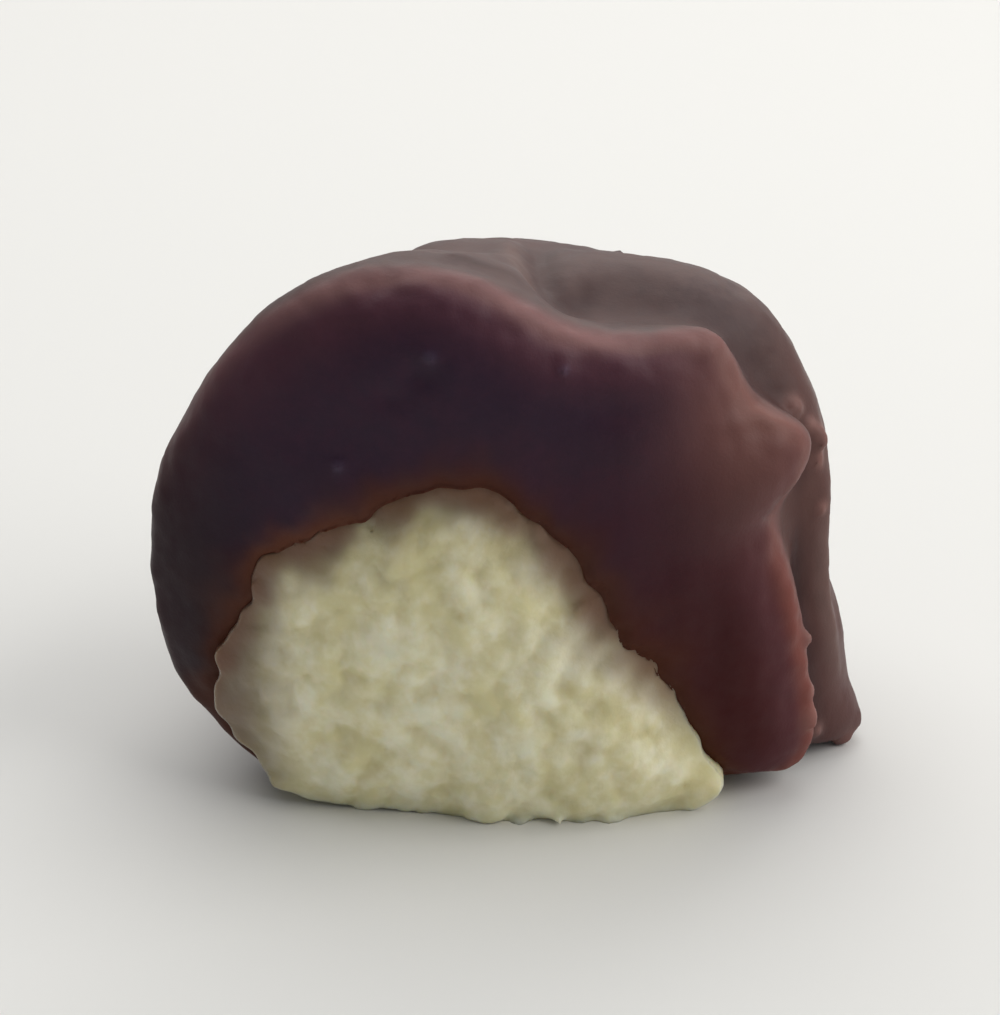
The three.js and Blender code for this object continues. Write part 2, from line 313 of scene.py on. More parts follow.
# The ranges over which masks rise from 0 to 1.
RANGES = {
    "front": (6.0, 3.5),  # by depth behind the cut face
    "facing": (0.45, 0.85),  # by how squarely it faces the front
    "cut": (0.53, 0.69),  # the same
    "warm_bounce": (-34, 2),  # down to the right, for the painted reddish bounce light
    "shaded_crease": (0.3, 2.0),  # by the depth of the folds, for the painted shade in them
    "shaded_line": (0.1, 0.55),  # by the depth of the fine folds, for the painted shade in them
    "lit_ridge": (0.1, 0.7),  # by their height, for the painted highlights on them
    "high": (24, 34),  # upwards
    "flank": (11, 22),  # to the right, for the painted reddish bounce light on the flank
    "left": (8, 24),  # to the left, for the painted shade on the left cheek
    "leftward": (10, 20),  # the same
    "back": (-4, 14),  # backwards
    "far back": (11, 19),  # the same
    "rice front": (6, 3),  # forwards
    "rice foot": (10, 16.5),  # to the right
    "rice left": (13, 19),  # to the left, for the painted shade on the rice's left side
    "rice off the table": (1, 5),  # upwards
    "rice rim": (4, 12),  # the same
    "rice shade": (7, 18),  # the same
    "rice proud": (-0.4, 0.3),  # by how far it stands out, for the painted shade between the grains
}
# How far the borders of these masks lean, as slopes.
LEANS = {"cut": 0.28, "warm_bounce": 0.6, "flank": 0.3, "left": 0.5, "back": 0.5}
CREASES_FADE = 0.6  # how much weaker the painted shade in the creases is high up
LINES_FADE = 0.7  # how much weaker the painted shade and highlights of the fine folds are far back

# How finely the skins are drawn, and how each piece is melted together: the size of the voxels and
# the rounds of smoothing.
PASTE_MESH = {"around": 288, "along": 190, "in_the_face": 0.6}
RICE_MESH = {"around": 120, "along": 70, "in_the_face": 1}
WELL_INSIDE = 0.5  # the share of the radius within which the cut face is drawn less finely
PROFILE_SAMPLES = 2400  # how many steps a profile is measured by
PASTE_MELT = {"voxel": 0.36, "smoothing": 6}
RICE_MELT = {"voxel": 0.24, "smoothing": 22}
HOLE_CLEARANCE = 12  # how far the shape that cuts the hole runs out in front

MOTTLING_RANGE = (0.2, 0.8)  # where the mottling's mask rises when it isn't sharpened
BUMP_STRENGTH = 0.35
FLOOR_HALF_WIDTH = 2.0  # in metres, like all that follows
# The lights: place, size, power in watts and colour.
LIGHTS = {
    "light above": ((-0.06, 0.20, 0.60), (0.8, 0.5), 2.7, (1.0, 0.99, 0.97)),
    "light on the right": ((0.50, -0.05, 0.42), (0.6, 0.5), 2.6, (1.0, 0.98, 0.95)),
    "light behind": ((0.0, 0.75, 0.42), (1.2, 0.4), 2.7, (1.0, 0.95, 0.88)),
}
LIGHTS_TARGET = (0, 0, 0.02)
ROOM = {"colour": (0.93, 0.96, 1.0, 1), "strength": 0.2}
CAMERA = {"place": (0.00696, -0.20616, 0.1187), "target": (-0.00144, 0.00015, 0.0185)}
LENS = {"sensor_width": 36, "lens": 105}  # in millimetres


def bell(distance):
    """A bell curve: 1 at its middle, and close to 0 two spreads away."""
    return np.exp(-distance * distance)


def turn_between(a, b):
    """The smaller angle from one direction to another."""
    return (a - b + 180) % 360 - 180


def smooth_between(value, low, high):
    """Rises smoothly from 0 at the low value to 1 at the high one."""
    share = np.clip((value - low) / (high - low), 0, 1)
    return share * share * (3 - 2 * share)


def rising(name, value):
    """A mask that rises from 0 to 1 over the range with this name."""
    return smooth_between(value, *RANGES[name])


def outline(angle, form, swells):
    """The distance from the axis to an oval section's outline, with its swells added."""
    turn = np.radians(angle)
    oval = 1 / np.hypot(np.cos(turn) / form["half_width"], np.sin(turn) / form["half_height"])
    return oval + sum(rise * bell(turn_between(angle, at) / over) for at, over, rise in swells)


def profile(step, form):
    """The share of the radius and the distance behind the cut, from -1, mid-face, to 1, far end."""
    turn = step * np.pi / 2
    squareness = np.where(step < 0, form["front_squareness"], form["back_squareness"])
    reach = np.where(step < 0, -form["widest_at"], form["length"] - form["widest_at"])
    share = np.clip(np.cos(turn), 0, 1) ** (2 / squareness)
    return share, form["widest_at"] + reach * np.abs(np.sin(turn)) ** (2 / squareness)


def step_at(behind, form):
    """The step of a profile that lies at a distance behind the cut."""
    if behind < form["widest_at"]:
        share = (form["widest_at"] - behind) / form["widest_at"]
        return -2 / math.pi * math.asin(share ** (form["front_squareness"] / 2))
    share = (behind - form["widest_at"]) / (form["length"] - form["widest_at"])
    return 2 / math.pi * math.asin(share ** (form["back_squareness"] / 2))


def settled(z, height):
    """Lays what would sink below the surface flat on it, with a round edge of the given height."""
    return np.where(z >= height, z, np.where(z <= -height, 0, (z + height) ** 2 / (4 * height)))


def rise_of(folds, angle, behind):
    """How far these folds lift the skin at one place."""
    return sum(
        rise * bell(turn_between(angle, at) / over) * bell((behind - depth) / reach)
        for at, over, depth, reach, rise in folds
    )


def fold_height(angle, behind):
    """The height of the skin's waves and folds at one place."""
    waves = sum(
        rise * np.sin(np.radians(turns * angle + phase) + along * behind)
        for turns, along, phase, rise in WAVES
    )
    return waves + rise_of(PASTE_FOLDS + FINE_FOLDS, angle, behind)


def face_depth(x, z, fine=False):
    """How far a point of the cut face lies behind the plane of the cut."""
    bowed = FACE["bow"] * (x / FACE["bow_half_width"]) ** 2 + FACE["turn"] * x + FACE["lean"] * z
    hollows = FACE_HOLLOWS + (FINE_HOLLOWS if fine else [])
    return bowed + sum(
        depth * bell((x - at_x) / over_x) * bell((z - at_z) / over_z)
        for at_x, at_z, over_x, over_z, depth in hollows
    )


def paste_points(angle, step):
    """Points of the paste's outside: its cut face, its lip and its skin."""
    share, behind = profile(step, PASTE)
    body = smooth_between(behind, PASTE["body_from"], PASTE["body_by"])
    edge = outline(angle, LIP, LIP_SWELLS) * (1 - body) + outline(angle, BODY, BODY_SWELLS) * body
    radius = share * (edge + share * fold_height(angle, behind))
    x = LIP["axis_x"] * (1 - body) + BODY["axis_x"] * body + radius * np.cos(np.radians(angle))
    z = PASTE["axis_height"] + radius * np.sin(np.radians(angle))
    y = behind + bell(behind / FACE["fade"]) * face_depth(x, z, fine=True)
    return np.stack([x, y, settled(z, PASTE["settle"])], axis=-1)


def rice_outline(angle):
    """The distance from the rice's axis to its uneven outline."""
    ripple = sum(rise * np.sin(np.radians(turns * angle + phase)) for turns, phase, rise in RIPPLES)
    return outline(angle, RICE, RICE_SWELLS) + ripple


def rice_points(angle, step, clear=0, sunk=0):
    """Points of the rice ball, run out past the cut face by clear, or sunk behind it."""
    share, behind = profile(step, RICE)
    radius = share * rice_outline(angle)
    x = RICE["axis_x"] + radius * np.cos(np.radians(angle))
    z = RICE["axis_height"] + radius * np.sin(np.radians(angle))
    in_front = np.clip(1 - behind / RICE["widest_at"], 0, 1)
    bulge = RICE["bulge"] * (1 - share ** RICE["bulge_squareness"])
    y = behind + in_front * (face_depth(x, z) - bulge - clear + sunk)
    if not clear:
        z = settled(z, RICE["settle"])
    return np.stack([x, y, z], axis=-1)


def even_steps(form, along, in_the_face):
    """Steps along a profile that lie evenly far apart, but rarer well inside the cut face."""
    steps = np.linspace(-1, 1, PROFILE_SAMPLES)
    share, behind = profile(steps, form)
    lengths = np.hypot(form["half_width"] * np.diff(share), np.diff(behind))
    inside = (steps[1:] < 0) & (share[1:] < WELL_INSIDE)
    reach = np.concatenate([[0], np.cumsum(lengths * np.where(inside, in_the_face, 1))])
    return np.interp(np.arange(1, along) / along * reach[-1], reach, steps)


def closed_skin(name, points_at, form, around, along, in_the_face):
    """A closed mesh from the middle of the cut face, ring by ring, to the far end."""
    angles, steps = np.meshgrid(
        np.arange(around) * 360 / around, even_steps(form, along, in_the_face)
    )
    rings = points_at(angles, steps).reshape(-1, 3)
    ends = points_at(np.zeros(2), np.array([-1.0, 1.0]))
    points = np.concatenate([ends[:1], rings, ends[1:]]) * MM
    last = len(points) - 1

    def at(i, j):
        return 1 + (j - 1) * around + i % around

    faces = []
    for i in range(around):
        faces.append((0, at(i, 1), at(i + 1, 1)))
        faces += [(at(i, j), at(i, j + 1), at(i + 1, j + 1), at(i + 1, j)) for j in range(1, along - 1)]
        faces.append((last, at(i + 1, along - 1), at(i, along - 1)))
    mesh = bpy.data.meshes.new(name)
    mesh.from_pydata(points.tolist(), [], faces)
    return linked(name, mesh)


def linked(name, data):
    """A new object with this data, in the scene."""
    made = bpy.data.objects.new(name, data)
    bpy.context.scene.collection.objects.link(made)
    return made


def made_plain(piece):
    """Turns a piece and its modifiers into a plain mesh with outward normals."""
    depsgraph = bpy.context.evaluated_depsgraph_get()
    mesh = bpy.data.meshes.new_from_object(piece.evaluated_get(depsgraph))
    piece.modifiers.clear()
    piece.data = mesh
    mesh.name = piece.name
    mesh.shade_smooth()


def points_of(piece):
    """The places of a piece's vertices, in millimetres."""
    places = np.empty(len(piece.data.vertices) * 3)
    piece.data.vertices.foreach_get("co", places)
    return places.reshape(-1, 3) / MM


def normals_of(piece):
    """The normals of a piece's vertices."""
    normals = np.empty(len(piece.data.vertices) * 3)
    piece.data.vertex_normals.foreach_get("vector", normals)
    return normals.reshape(-1, 3)


def set_points(piece, points):
    """Moves a piece's vertices to these places, given in millimetres."""
    piece.data.vertices.foreach_set("co", (points * MM).ravel())
    piece.data.update()


def set_mask(piece, name, values):
    """Keeps one number for each vertex, for the material to read."""
    layer = piece.data.attributes.new(name, "FLOAT", "POINT")
    layer.data.foreach_set("value", np.clip(values, 0, 1).astype(np.float32))


def melted(piece, voxel, smoothing):
    """Melts what overlaps in a piece into one skin, and softens it."""
    remesh = piece.modifiers.new("Melt", "REMESH")
    remesh.mode = "VOXEL"
    remesh.voxel_size = voxel * MM
    smooth = piece.modifiers.new("Soften", "SMOOTH")
    smooth.factor = 0.5
    smooth.iterations = smoothing
    made_plain(piece)


def noise_at(points, name):
    """The fractal noise with this name at these places, between about -1 and 1."""
    size, octaves, offset = NOISES[name]
    shifted = points / size + np.array(offset)
    return np.array([noise.fractal(Vector(p), FADING, LACUNARITY, octaves) for p in shifted])


def joined(pieces):
    """Joins several pieces into the first."""
    with bpy.context.temp_override(active_object=pieces[0], selected_editable_objects=pieces):
        bpy.ops.object.join()


def lump(name, number, middle, size):
    """One uneven lump round a middle, its size given along x, y and z."""
    mesh = bpy.data.meshes.new(name)
    shape = bmesh.new()
    bmesh.ops.create_icosphere(shape, subdivisions=LUMP["subdivisions"], radius=1)
    for vertex in shape.verts:
        swell = noise.noise(vertex.co * LUMP["bumps"] + Vector((number, 0, 0)))
        place = vertex.co * (1 + LUMP["unevenness"] * swell)
        vertex.co = [(m + p * s) * MM for m, p, s in zip(middle, place, size)]
    shape.to_mesh(mesh)
    shape.free()
    return linked(name, mesh)


def skin_point(angle, behind):
    """The point of the skin at an angle and a depth behind the cut."""
    return paste_points(np.float64(angle), np.float64(step_at(behind, PASTE)))


def face_point(x, z):
    """The point of the cut face at a place across and up."""
    dx, dz = x - LIP["axis_x"], z - PASTE["axis_height"]
    angle = math.degrees(math.atan2(dz, dx))
    share = math.hypot(dx, dz) / outline(angle, LIP, LIP_SWELLS)
    step = -2 / math.pi * math.acos(share ** (PASTE["front_squareness"] / 2))
    return paste_points(np.float64(angle), np.float64(step))


def crumbs():
    """The crumbs of paste, each half sunk in the skin."""
    for number, (angle, behind, radius) in enumerate(CRUMBS):
        yield lump("lit_crumb", number, skin_point(angle, behind), [radius] * 3)


def scraps():
    """The scraps of rice, each half pressed into the cut face."""
    for number, (x, z, radius) in enumerate(SCRAPS):
        yield lump("scrap", number, face_point(x, z), [radius] * 3)


def make_paste():
    """The coat of bean paste, open where the rice shows."""
    paste = closed_skin("bean_paste_coat", paste_points, PASTE, **PASTE_MESH)
    hole = closed_skin(
        "hole", lambda angle, step: rice_points(angle, step, clear=HOLE_CLEARANCE), RICE, **RICE_MESH
    )
    cut = paste.modifiers.new("Hole", "BOOLEAN")
    cut.operation = "DIFFERENCE"
    cut.solver = "MANIFOLD"
    cut.object = hole
    made_plain(paste)
    bpy.data.objects.remove(hole)
    joined([paste, *crumbs(), *scraps()])
    melted(paste, **PASTE_MELT)
    return paste


def rice_share(points):
    """How far out each point lies from the rice's axis, as a share of the rice's outline there,
    with the distances to that outline and to the one without its ripples."""
    x, z = points[:, 0] - RICE["axis_x"], points[:, 2] - RICE["axis_height"]
    angle = np.degrees(np.arctan2(z, x))
    edge = rice_outline(angle)
    return np.hypot(x, z) / edge, edge, outline(angle, RICE, RICE_SWELLS)


def near_smear(x, z):
    """How close a place of the cut lies to the smear of paste, from 0 to 1."""
    return bell(np.hypot(x - SMEAR["x"], z - SMEAR["z"]) / SMEAR["over"])


def near_lumps(points, lumps):
    """How close each point lies to these lumps, each a middle and a spread."""
    near = np.zeros(len(points))
    for middle, spread in lumps:
        near += bell(np.linalg.norm(points - middle, axis=1) / spread)
    return near


def read_paste(points, normals):
    """What the relief and the masks of the paste go by, at each of its vertices."""
    x, y, z = points.T
    dx, dz = x - LIP["axis_x"], z - PASTE["axis_height"]
    around = np.degrees(np.arctan2(dz, x - BODY["axis_x"]))
    share, edge, _ = rice_share(points)
    front = rising("front", y - face_depth(x, z))
    return SimpleNamespace(
        front=front,
        facing=rising("facing", -normals[:, 1]) * front,
        leftward=rising("leftward", -x),
        far_back=rising("far back", y),
        out=np.maximum(share - 1, 0) * edge,
        inward=outline(np.degrees(np.arctan2(dz, dx)), LIP, LIP_SWELLS) - np.hypot(dx, dz),
        slow=noise_at(points, "slow"),
        fine=noise_at(points, "fine"),
        drags=noise_at(points * UPRIGHT, "drags"),
        knobs=noise_at(points, "knobs"),
        fold=fold_height(around, y),
        fine_fold=rise_of(FINE_FOLDS, around, y),
        smeared=near_smear(x, z),
        bevel=bell((x - LIT_BEVEL["x"]) / LIT_BEVEL["over_x"]) * bell((z - LIT_BEVEL["z"]) / LIT_BEVEL["over_z"]),
        scrap=near_lumps(points, [(face_point(at_x, at_z), size) for at_x, at_z, size in SCRAPS]),
        lit_crumb=near_lumps(
            points, [(skin_point(angle, at), CRUMB_GLOW * size) for angle, at, size in CRUMBS]
        ),
    )


def lip_band(name, here):
    """A band along the edge of the lip, as a mask."""
    inward, over, nearer, weaker = LIP_BANDS[name]
    strength = (1 - weaker * here.leftward) * here.front
    return bell((here.inward - inward + nearer * here.leftward) / over) * strength


def rim_stain(name, here, unevenness):
    """A colour on the paste round the rice, as a mask."""
    over, uneven = RIM_STAINS[name]
    return bell(here.out / (over + uneven * unevenness)) * here.front


def paste_relief(here):
    """How far the fine unevenness of the paste lifts its skin."""
    relief = CREST_RISE * lip_band("edge", here) * (1 + here.slow)
    relief += CREST_KNOBS * here.knobs * lip_band("knobs", here)
    for name, (skin, cut) in PASTE_RELIEF.items():
        relief += (skin + (cut - skin) * here.facing) * getattr(here, name)
    return relief


def paste_masks(points, normals, here):
    """The masks that the material of the paste reads."""
    x, y, z = points.T
    above = z - PASTE["axis_height"]
    fading_lines = 1 - LINES_FADE * here.far_back
    return {
        "cut": rising("cut", LEANS["cut"] * here.leftward - normals[:, 1]) * here.front,
        "rim": rim_stain("rim", here, here.slow),
        "smear": rim_stain("smear", here, here.fine) * here.smeared,
        # painted reddish bounce light on the cut face, low on the right
        "warm_bounce": rising("warm_bounce", LEANS["warm_bounce"] * x - z) * here.front,
        # painted light on the lit bevel of the shoulder
        "bevel": here.bevel * here.front,
        # painted shade in the folds and hollows, weaker high up
        "shaded_crease": rising("shaded_crease", -here.fold) * (1 - CREASES_FADE * rising("high", z)),
        # painted shade in the fine folds
        "shaded_line": rising("shaded_line", -here.fine_fold) * fading_lines,
        # painted highlights on the fine ridges
        "lit_ridge": rising("lit_ridge", here.fine_fold) * fading_lines,
        # painted highlight along the lip's lit edge
        "lit_crest": lip_band("lit_crest", here),
        # painted reddish light on the face just under the lip's edge
        "lit_lip_band": lip_band("lit_lip_band", here),
        "scrap": here.scrap * here.front,
        # painted highlight on the crumbs
        "lit_crumb": here.lit_crumb * (y < CRUMBS_END),
        # painted reddish bounce light on the right flank
        "flank": rising("flank", x - LEANS["flank"] * above) * (1 - here.far_back),
        # painted shade on the left cheek
        "left": rising("left", -x - LEANS["left"] * above) * here.front,
        "back": rising("back", y - LEANS["back"] * z),
    }


def dress_paste(paste):
    """Gives the paste its fine relief and the masks that its material reads."""
    points, normals = points_of(paste), normals_of(paste)
    here = read_paste(points, normals)
    points += normals * paste_relief(here)[:, None]
    points[:, 1] += RIM_DIP["depth"] * bell(here.out / RIM_DIP["over"]) * here.facing
    set_points(paste, points)
    for name, values in paste_masks(points, normals, here).items():
        set_mask(paste, name, values)


def fit_paste(paste):
    """Scales and moves the paste to its place in the frame, and returns how, for the rice to follow."""
    points = points_of(paste)
    low, high = (np.array(corner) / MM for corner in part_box("bean_paste"))
    scale = (high - low) / (points.max(axis=0) - points.min(axis=0))
    move = low - points.min(axis=0) * scale
    set_points(paste, points * scale + move)
    return scale, move


def put(tree, kind, wires=None, **settings):
    """Adds a node with these settings, its inputs fed by values or by other nodes' sockets."""
    made = tree.nodes.new(kind)
    for name, value in settings.items():
        setattr(made, name, value)
    for name, source in (wires or {}).items():
        if isinstance(source, bpy.types.NodeSocket):
            tree.links.new(source, made.inputs[name])
        else:
            made.inputs[name].default_value = source
    return made


def new_group(name, kind, inputs, outputs):
    """A new node group with these sockets: {name: (socket kind, default)} and {name: socket kind}."""
    tree = bpy.data.node_groups.new(name, kind)
    for label, (socket, default) in inputs.items():
        made = tree.interface.new_socket(label, in_out="INPUT", socket_type=socket)
        if default is not None:
            made.default_value = default
    for label, socket in outputs.items():
        tree.interface.new_socket(label, in_out="OUTPUT", socket_type=socket)
    return tree, tree.nodes.new("NodeGroupInput"), tree.nodes.new("NodeGroupOutput")


def maths(tree, operation, first, second):
    """The result of one Math node."""
    return put(tree, "ShaderNodeMath", {0: first, 1: second}, operation=operation).outputs[0]


def where_grains_lie(tree):
    """The parts of the core that carry grains: its cut face and its underside."""
    place = put(tree, "GeometryNodeInputPosition")
    parts = put(tree, "ShaderNodeSeparateXYZ", {"Vector": place.outputs[0]})
    front = maths(tree, "LESS_THAN", parts.outputs["Y"], GRAIN["up_to_behind"] * MM)
    below = maths(tree, "LESS_THAN", parts.outputs["Z"], GRAIN["up_to_height"] * MM)
    return maths(tree, "MAXIMUM", front, below)


def turn_of_grains(tree, given, normal):
    """The turn of each grain: flat on the core, spun at random and a little tilted."""
    tilt = given.outputs["Tilt"]
    back = maths(tree, "MULTIPLY", tilt, -1.0)
    lowest = put(tree, "ShaderNodeCombineXYZ", {"X": back, "Y": back, "Z": -math.pi})
    highest = put(tree, "ShaderNodeCombineXYZ", {"X": tilt, "Y": tilt, "Z": math.pi})
    turn = put(
        tree,
        "FunctionNodeRandomValue",
        {0: lowest.outputs[0], 1: highest.outputs[0], "Seed": given.outputs["Seed"]},
        data_type="FLOAT_VECTOR",
    )
    own = put(tree, "FunctionNodeEulerToRotation", {0: turn.outputs[0]})
    flat = put(tree, "FunctionNodeAlignRotationToVector", {"Vector": normal}, axis="Z")
    wires = {0: flat.outputs[0], 1: own.outputs[0]}
    return put(tree, "FunctionNodeRotateRotation", wires, rotation_space="LOCAL").outputs[0]


def scattered_grains_tree():
    """Grains strewn over a core's cut face and its underside, each turned its own way."""
    number = "NodeSocketFloat"
    tree, given, result = new_group(
        "Scattered grains",
        "GeometryNodeTree",
        {
            "Core": ("NodeSocketGeometry", None),
            "Spacing": (number, None),
            "Grain": ("NodeSocketVector", None),
            "Smallest": (number, 0.75),
            "Largest": (number, 1.15),
            "Tilt": (number, 0.25),
            "Seed": ("NodeSocketInt", 4),
            "Finish": ("NodeSocketMaterial", None),
        },
        {"Geometry": "NodeSocketGeometry"},
    )
    spread = put(
        tree,
        "GeometryNodeDistributePointsOnFaces",
        {
            "Mesh": given.outputs["Core"],
            "Selection": where_grains_lie(tree),
            "Distance Min": given.outputs["Spacing"],
            "Density Max": MOST_GRAINS,
            "Seed": given.outputs["Seed"],
        },
        distribute_method="POISSON",
    )
    ball = put(tree, "GeometryNodeMeshUVSphere", {"Segments": 14, "Rings": 9, "Radius": 1.0})
    wires = {"Geometry": ball.outputs["Mesh"], "Scale": given.outputs["Grain"]}
    shaped = put(tree, "GeometryNodeTransform", wires)
    size = put(
        tree,
        "FunctionNodeRandomValue",
        {2: given.outputs["Smallest"], 3: given.outputs["Largest"], "Seed": given.outputs["Seed"]},
        data_type="FLOAT",
    )
    grains = put(
        tree,
        "GeometryNodeInstanceOnPoints",
        {
            "Points": spread.outputs["Points"],
            "Instance": shaped.outputs[0],
            "Rotation": turn_of_grains(tree, given, spread.outputs["Normal"]),
            "Scale": size.outputs[1],
        },
    )
    both = put(tree, "GeometryNodeJoinGeometry")
    tree.links.new(given.outputs["Core"], both.inputs[0])
    tree.links.new(grains.outputs[0], both.inputs[0])
    real = put(tree, "GeometryNodeRealizeInstances", {"Geometry": both.outputs[0]})
    wires = {"Geometry": real.outputs[0], "Material": given.outputs["Finish"]}
    finish = put(tree, "GeometryNodeSetMaterial", wires)
    tree.links.new(finish.outputs[0], result.inputs["Geometry"])
    return tree


def set_input(modifier, label, value):
    """Sets one named input of a Geometry Nodes modifier."""
    for item in modifier.node_group.interface.items_tree:
        if item.item_type == "SOCKET" and item.in_out == "INPUT" and item.name == label:
            modifier[item.identifier] = value


def make_rice(finish):
    """The ball of rice, with the grains that the cut and the underside show melted into it."""
    rice = closed_skin(
        "half_pounded_rice",
        lambda angle, step: rice_points(angle, step, sunk=GRAIN["sunk"]),
        RICE,
        **RICE_MESH,
    )
    scatter = rice.modifiers.new("Grains", "NODES")
    scatter.node_group = scattered_grains_tree()
    set_input(scatter, "Spacing", GRAIN["spacing"] * MM)
    set_input(scatter, "Grain", [size * MM for size in GRAIN["half_size"]])
    set_input(scatter, "Finish", finish)
    made_plain(rice)
    foot = (TAIL["x"], face_depth(TAIL["x"], TAIL["z"]), TAIL["z"])
    size = (TAIL["radius"], TAIL["length"], TAIL["flatness"] * TAIL["radius"])
    joined([rice, lump("tail", TAIL["number"], foot, size)])
    melted(rice, **RICE_MELT)
    return rice


def rice_relief(points, lumps):
    """How far lumps, mash and strands lift the surface of the rice."""
    mash = noise_at(points, "mash")
    warped = points + STRANDS["warp"] * lumps[:, None]
    strands = STRANDS["level"] - np.abs(noise_at(warped, "strands"))
    lifts = {"mash": mash, "lumps": lumps, "strands": strands}
    return sum(RICE_RELIEF[name] * lift for name, lift in lifts.items())


def draw_to_outline(points, share, edge):
    """Draws the rice's edge to its outline, a little under the paste, and nothing past it."""
    widest = 1 + OVERLAP / edge
    close = bell((edge - share * edge) / RICE_EDGE["drawn_over"]) * (share < 1)
    wanted = np.minimum(share + (widest - share) * close, widest)
    axis = np.array([RICE["axis_x"], 0, RICE["axis_height"]])
    across = (points - axis) * np.array([1, 0, 1])
    points += across * (wanted / np.maximum(share, NEAR_AXIS) - 1)[:, None]
    points[:, 2] = np.maximum(points[:, 2], 0)


def round_the_foot(points):
    """Draws the rice's foot on the right in at the table."""
    foot = rising("rice foot", points[:, 0]) * bell(points[:, 2] / FOOT_ROUNDING["height"])
    points[:, 0] -= FOOT_ROUNDING["by"] * foot
    points[:, 1] += FOOT_ROUNDING["by"] * foot


def level_the_edge(points, share, inward):
    """Swells the middle of the rice and levels its edge, and returns how far it stood out."""
    bulge = RICE["bulge"] * (1 - share ** RICE["bulge_squareness"])
    height = face_depth(points[:, 0], points[:, 2]) - bulge - points[:, 1]
    setback = RICE_EDGE["setback"] * bell(inward / RICE_EDGE["set_over"])
    setback *= rising("rice off the table", points[:, 2])
    level = RICE_EDGE["level"] * height * bell(inward / RICE_EDGE["level_over"])
    in_front = rising("rice front", points[:, 1])
    points[:, 1] += (setback + level - DOME * (1 - share * share)) * in_front
    return height


def rice_stain_and_shade(name, inward, lumps, smeared):
    """A mask on the rice beside the paste: its stain for rim, its painted shade for shade."""
    reach, lumpy, smear = RICE_STAIN_AND_SHADE[name]
    return bell(inward / (reach + lumpy * lumps + smear * smeared))


def dress_rice(rice):
    """Presses the rice into its own outline and onto the surface, and adds relief and masks."""
    points, normals = points_of(rice), normals_of(rice)
    lumps = noise_at(points, "lumps")
    points += normals * rice_relief(points, lumps)[:, None]
    share, edge, even_edge = rice_share(points)
    inward = np.maximum(even_edge - share * edge, 0)
    draw_to_outline(points, share, edge)
    round_the_foot(points)
    height = level_the_edge(points, np.minimum(share, 1), inward)
    set_points(rice, points)
    x, _, z = points.T
    smeared = near_smear(x, z)
    rim = rice_stain_and_shade("rim", inward, lumps, smeared) * rising("rice rim", z)
    # painted shade on the rice under the paste's edge, and on its left side
    shade = rice_stain_and_shade("shade", inward, lumps, smeared) * rising("rice shade", z)
    set_mask(rice, "rim", rim)
    set_mask(rice, "shade", np.maximum(shade, rising("rice left", -x)))
    set_mask(rice, "proud", rising("rice proud", height))


def fit_rice(rice, scale, move):
    """Moves the rice as the paste was moved, and keeps it inside the part's box in the frame."""
    low, high = (np.array(corner) / MM for corner in CAD_BOX)
    points = points_of(rice) * scale + move
    points[:, 2] -= points[:, 2].min()
    set_points(rice, np.clip(points, low, high))


def tone(red, green, blue):
    """A colour as it looks on a screen, from 0 to 255, as the linear colour that a shader takes."""

    def linear(value):
        share = value / 255
        return share / 12.92 if share <= 0.04045 else ((share + 0.055) / 1.055) ** 2.4

    return (linear(red), linear(green), linear(blue), 1)


def new_material(name, **constants):
    """A new material with one Principled shader, its unchanging values set on its own sockets."""
    made = bpy.data.materials.new(name)
    made.use_nodes = True
    shader = made.node_tree.nodes["Principled BSDF"]
    for label, value in constants.items():
        shader.inputs[label.replace("_", " ")].default_value = value
    return made, made.node_tree, shader


def noise_texture(tree, vector, scale, detail, roughness=0.5):
    """A soft noise, as a value between 0 and 1."""
    wires = {"Vector": vector, "Scale": scale, "Detail": detail, "Roughness": roughness}
    return put(tree, "ShaderNodeTexNoise", wires).outputs["Fac"]


def blended(tree, factor, first, second):
    """One value turning into another as the factor rises."""
    return put(tree, "ShaderNodeMix", {0: factor, 2: first, 3: second}, data_type="FLOAT").outputs[0]


def stepped(tree, value, low, high):
    """A mask that rises smoothly from 0 at the low value to 1 at the high one."""
    wires = {"Value": value, "From Min": low, "From Max": high}
    return put(tree, "ShaderNodeMapRange", wires, interpolation_type="SMOOTHSTEP").outputs[0]


def mottling_group():
    """Soft patches of two sizes, as a mask from 0 to 1."""
    number = "NodeSocketFloat"
    tree, given, result = new_group(
        "Mottling",
        "ShaderNodeTree",
        {
            "Vector": ("NodeSocketVector", None),
            "Patches per metre": (number, 150.0),
            "Flecks per metre": (number, 900.0),
            "Share of flecks": (number, 0.35),
            "Sharpness": (number, 0.3),
        },
        {"Mask": number},
    )
    vector = given.outputs["Vector"]
    patches = noise_texture(tree, vector, given.outputs["Patches per metre"], 3.0)
    flecks = noise_texture(tree, vector, given.outputs["Flecks per metre"], 4.0)
    both = blended(tree, given.outputs["Share of flecks"], patches, flecks)
    half = maths(tree, "MULTIPLY", given.outputs["Sharpness"], 0.5)
    low = maths(tree, "ADD", half, MOTTLING_RANGE[0])
    high = maths(tree, "SUBTRACT", MOTTLING_RANGE[1], half)
    tree.links.new(stepped(tree, both, low, high), result.inputs["Mask"])
    return tree


